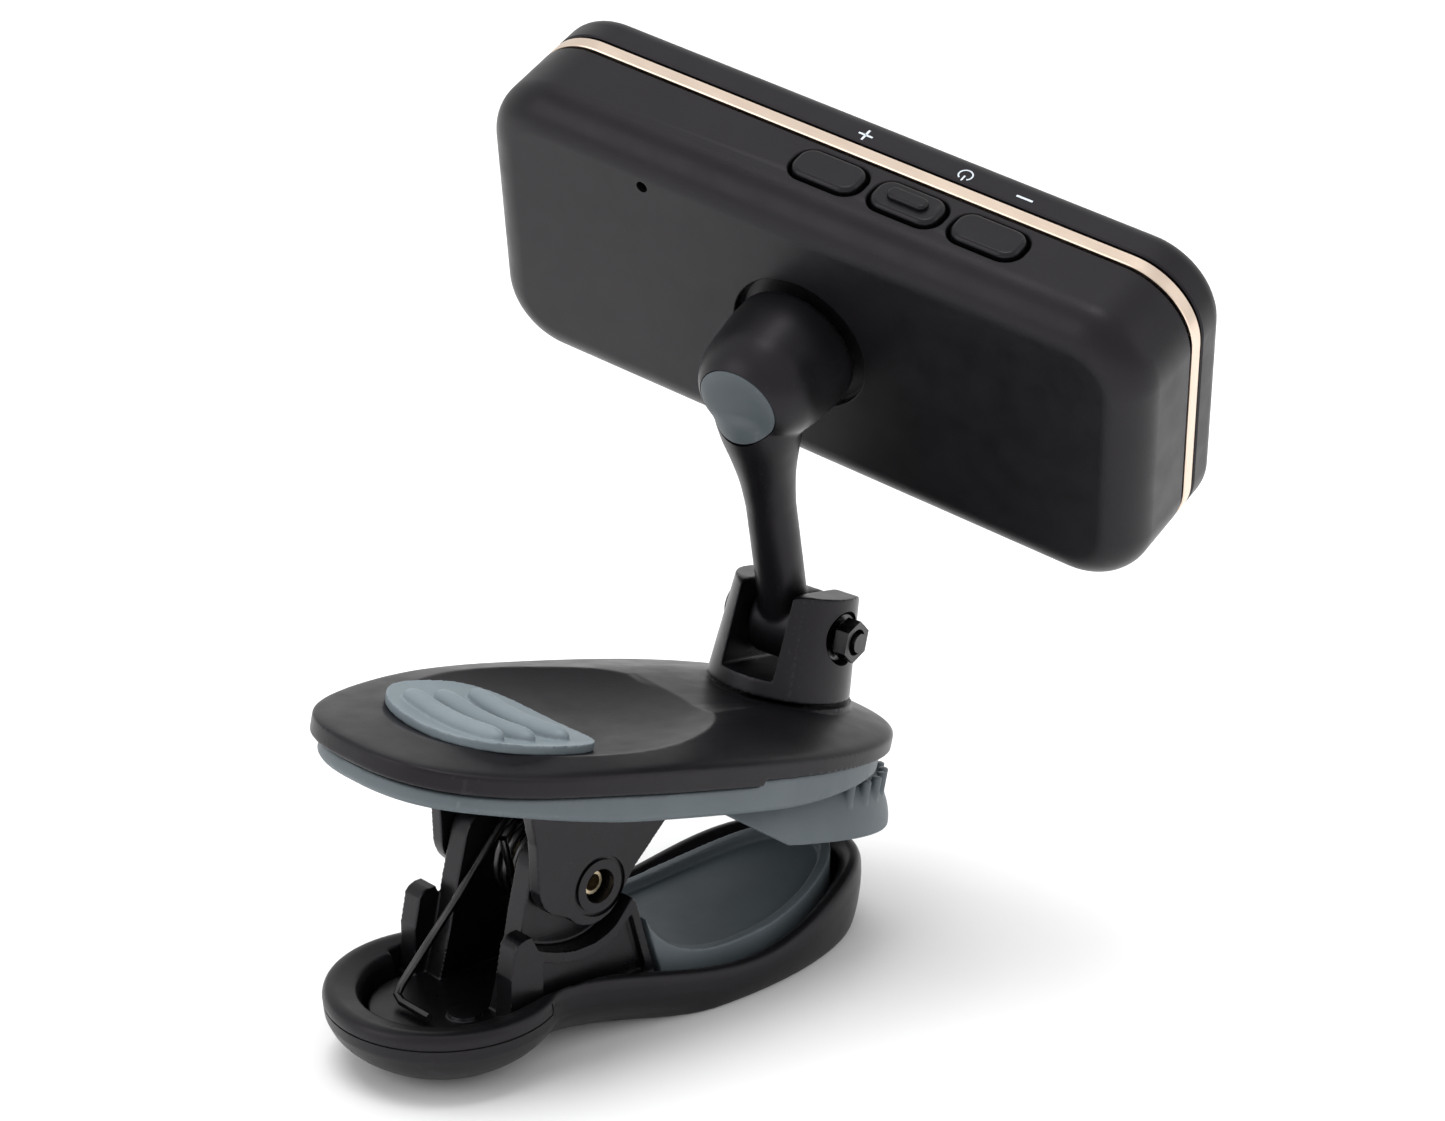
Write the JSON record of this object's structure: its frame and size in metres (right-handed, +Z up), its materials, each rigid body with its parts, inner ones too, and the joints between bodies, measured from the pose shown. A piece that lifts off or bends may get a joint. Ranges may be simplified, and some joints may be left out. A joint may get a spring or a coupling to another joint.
{
  "type": "clip-on tuner",
  "caption": "Clip-on instrument tuner: a wide display head on a ball-jointed arm and swivel turret, carried by a sprung clip with soft jaw pads.",
  "frame": {"origin": "middle of the handle lobe on the flat underside the clip rests on", "axes": "+X along the clip from the handle end to the jaws, +Z up from the rest face, Y across the clip"},
  "size_m": [0.067, 0.0626, 0.071],
  "materials": {
    "soft_black": "soft-touch matt",
    "satin_black": "satin moulded",
    "soft_grey": "matt rubber",
    "gold_trim": "champagne metallic paint",
    "dark_steel": "blackened",
    "bright_steel": "plain",
    "pin_brass": "plain",
    "board_green": "solder mask",
    "cell_wrap": "foil wrap",
    "display_clear": "clear over dark"
  },
  "bodies": {
    "lower_clip": {"lower_shell": "soft_black", "lower_frame": "satin_black", "lower_jaw_pad": "soft_grey", "pivot_pin": "pin_brass", "torsion_spring": "dark_steel"},
    "upper_lever": {"upper_lever_shell": "soft_black", "thumb_pad": "soft_grey", "upper_lever_liner": "soft_grey", "upper_frame": "satin_black", "upper_jaw_pad": "soft_grey"},
    "turret_body": {"turret": "satin_black", "turret_washer": "bright_steel", "turret_screw": "bright_steel", "hinge_bolt": "dark_steel", "hinge_washer": "dark_steel", "hinge_nut": "dark_steel"},
    "arm_body": {"arm": "soft_black", "arm_plug": "soft_grey"},
    "socket": {"socket_liner": "satin_black"},
    "ball_joint": {"ball_stud": "dark_steel"},
    "head": {"head_back_shell": "soft_black", "head_front_shell": "soft_black", "trim_band": "gold_trim", "display_lens": "display_clear", "display_module": "satin_black", "circuit_board": "board_green", "battery_cell": "cell_wrap", "piezo_sensor": "pin_brass", "usb_socket": "bright_steel", "switch_reset": "satin_black", "board_screw_left": "bright_steel", "board_screw_right": "bright_steel", "switch_plus": "satin_black", "switch_menu": "satin_black", "switch_minus": "satin_black", "stud_nut": "bright_steel"},
    "plus_key": {"button_plus": "satin_black"},
    "menu_key": {"button_menu": "satin_black"},
    "minus_key": {"button_minus": "satin_black"}
  },
  "joints": [
    {"name": "clip_pivot", "type": "hinge", "parent": "lower_clip", "child": "upper_lever", "pos_m": [0.0104, 0, 0.0131], "axis": [0, -1, 0], "range_deg": [0, 28], "stiffness_Nm_per_rad": 0.2, "springref_deg": -34.38, "deforming": ["torsion_spring"]},
    {"name": "turret_swivel", "type": "hinge", "parent": "upper_lever", "child": "turret_body", "pos_m": [0.03481, 0, 0.02037], "axis": [0.2436, 0, 0.9699], "range_deg": [-90, 90]},
    {"name": "arm_fold", "type": "hinge", "parent": "turret_body", "child": "arm_body", "pos_m": [0.03617, 0, 0.0258], "axis": [0.2182, -0.9744, -0.0548], "range_deg": [-20, 45]},
    {"name": "socket_turn", "type": "hinge", "parent": "arm_body", "child": "socket", "pos_m": [0.03147, -0.00232, 0.0483], "axis": [0.918, 0.1858, 0.3505], "range_deg": [-40, 40]},
    {"name": "ball_tilt", "type": "hinge", "parent": "socket", "child": "ball_joint", "pos_m": [0.03147, -0.00232, 0.0483], "axis": [0.2182, -0.9744, -0.0548], "range_deg": [-8, 8]},
    {"name": "head_spin", "type": "hinge", "parent": "ball_joint", "child": "head", "pos_m": [0.03147, -0.00232, 0.0483], "axis": [0.918, 0.1858, 0.3505], "range_deg": [-60, 60]},
    {"name": "press_plus", "type": "slide", "parent": "head", "child": "plus_key", "axis": [0.294, 0.2743, -0.9156], "range_m": [0, 0.0004], "stiffness_N_per_m": 250, "springref_m": -0.0002},
    {"name": "press_menu", "type": "slide", "parent": "head", "child": "menu_key", "axis": [0.294, 0.2743, -0.9156], "range_m": [0, 0.0004], "stiffness_N_per_m": 250, "springref_m": -0.0002},
    {"name": "press_minus", "type": "slide", "parent": "head", "child": "minus_key", "axis": [0.294, 0.2743, -0.9156], "range_m": [0, 0.0004], "stiffness_N_per_m": 250, "springref_m": -0.0002}
  ]
}
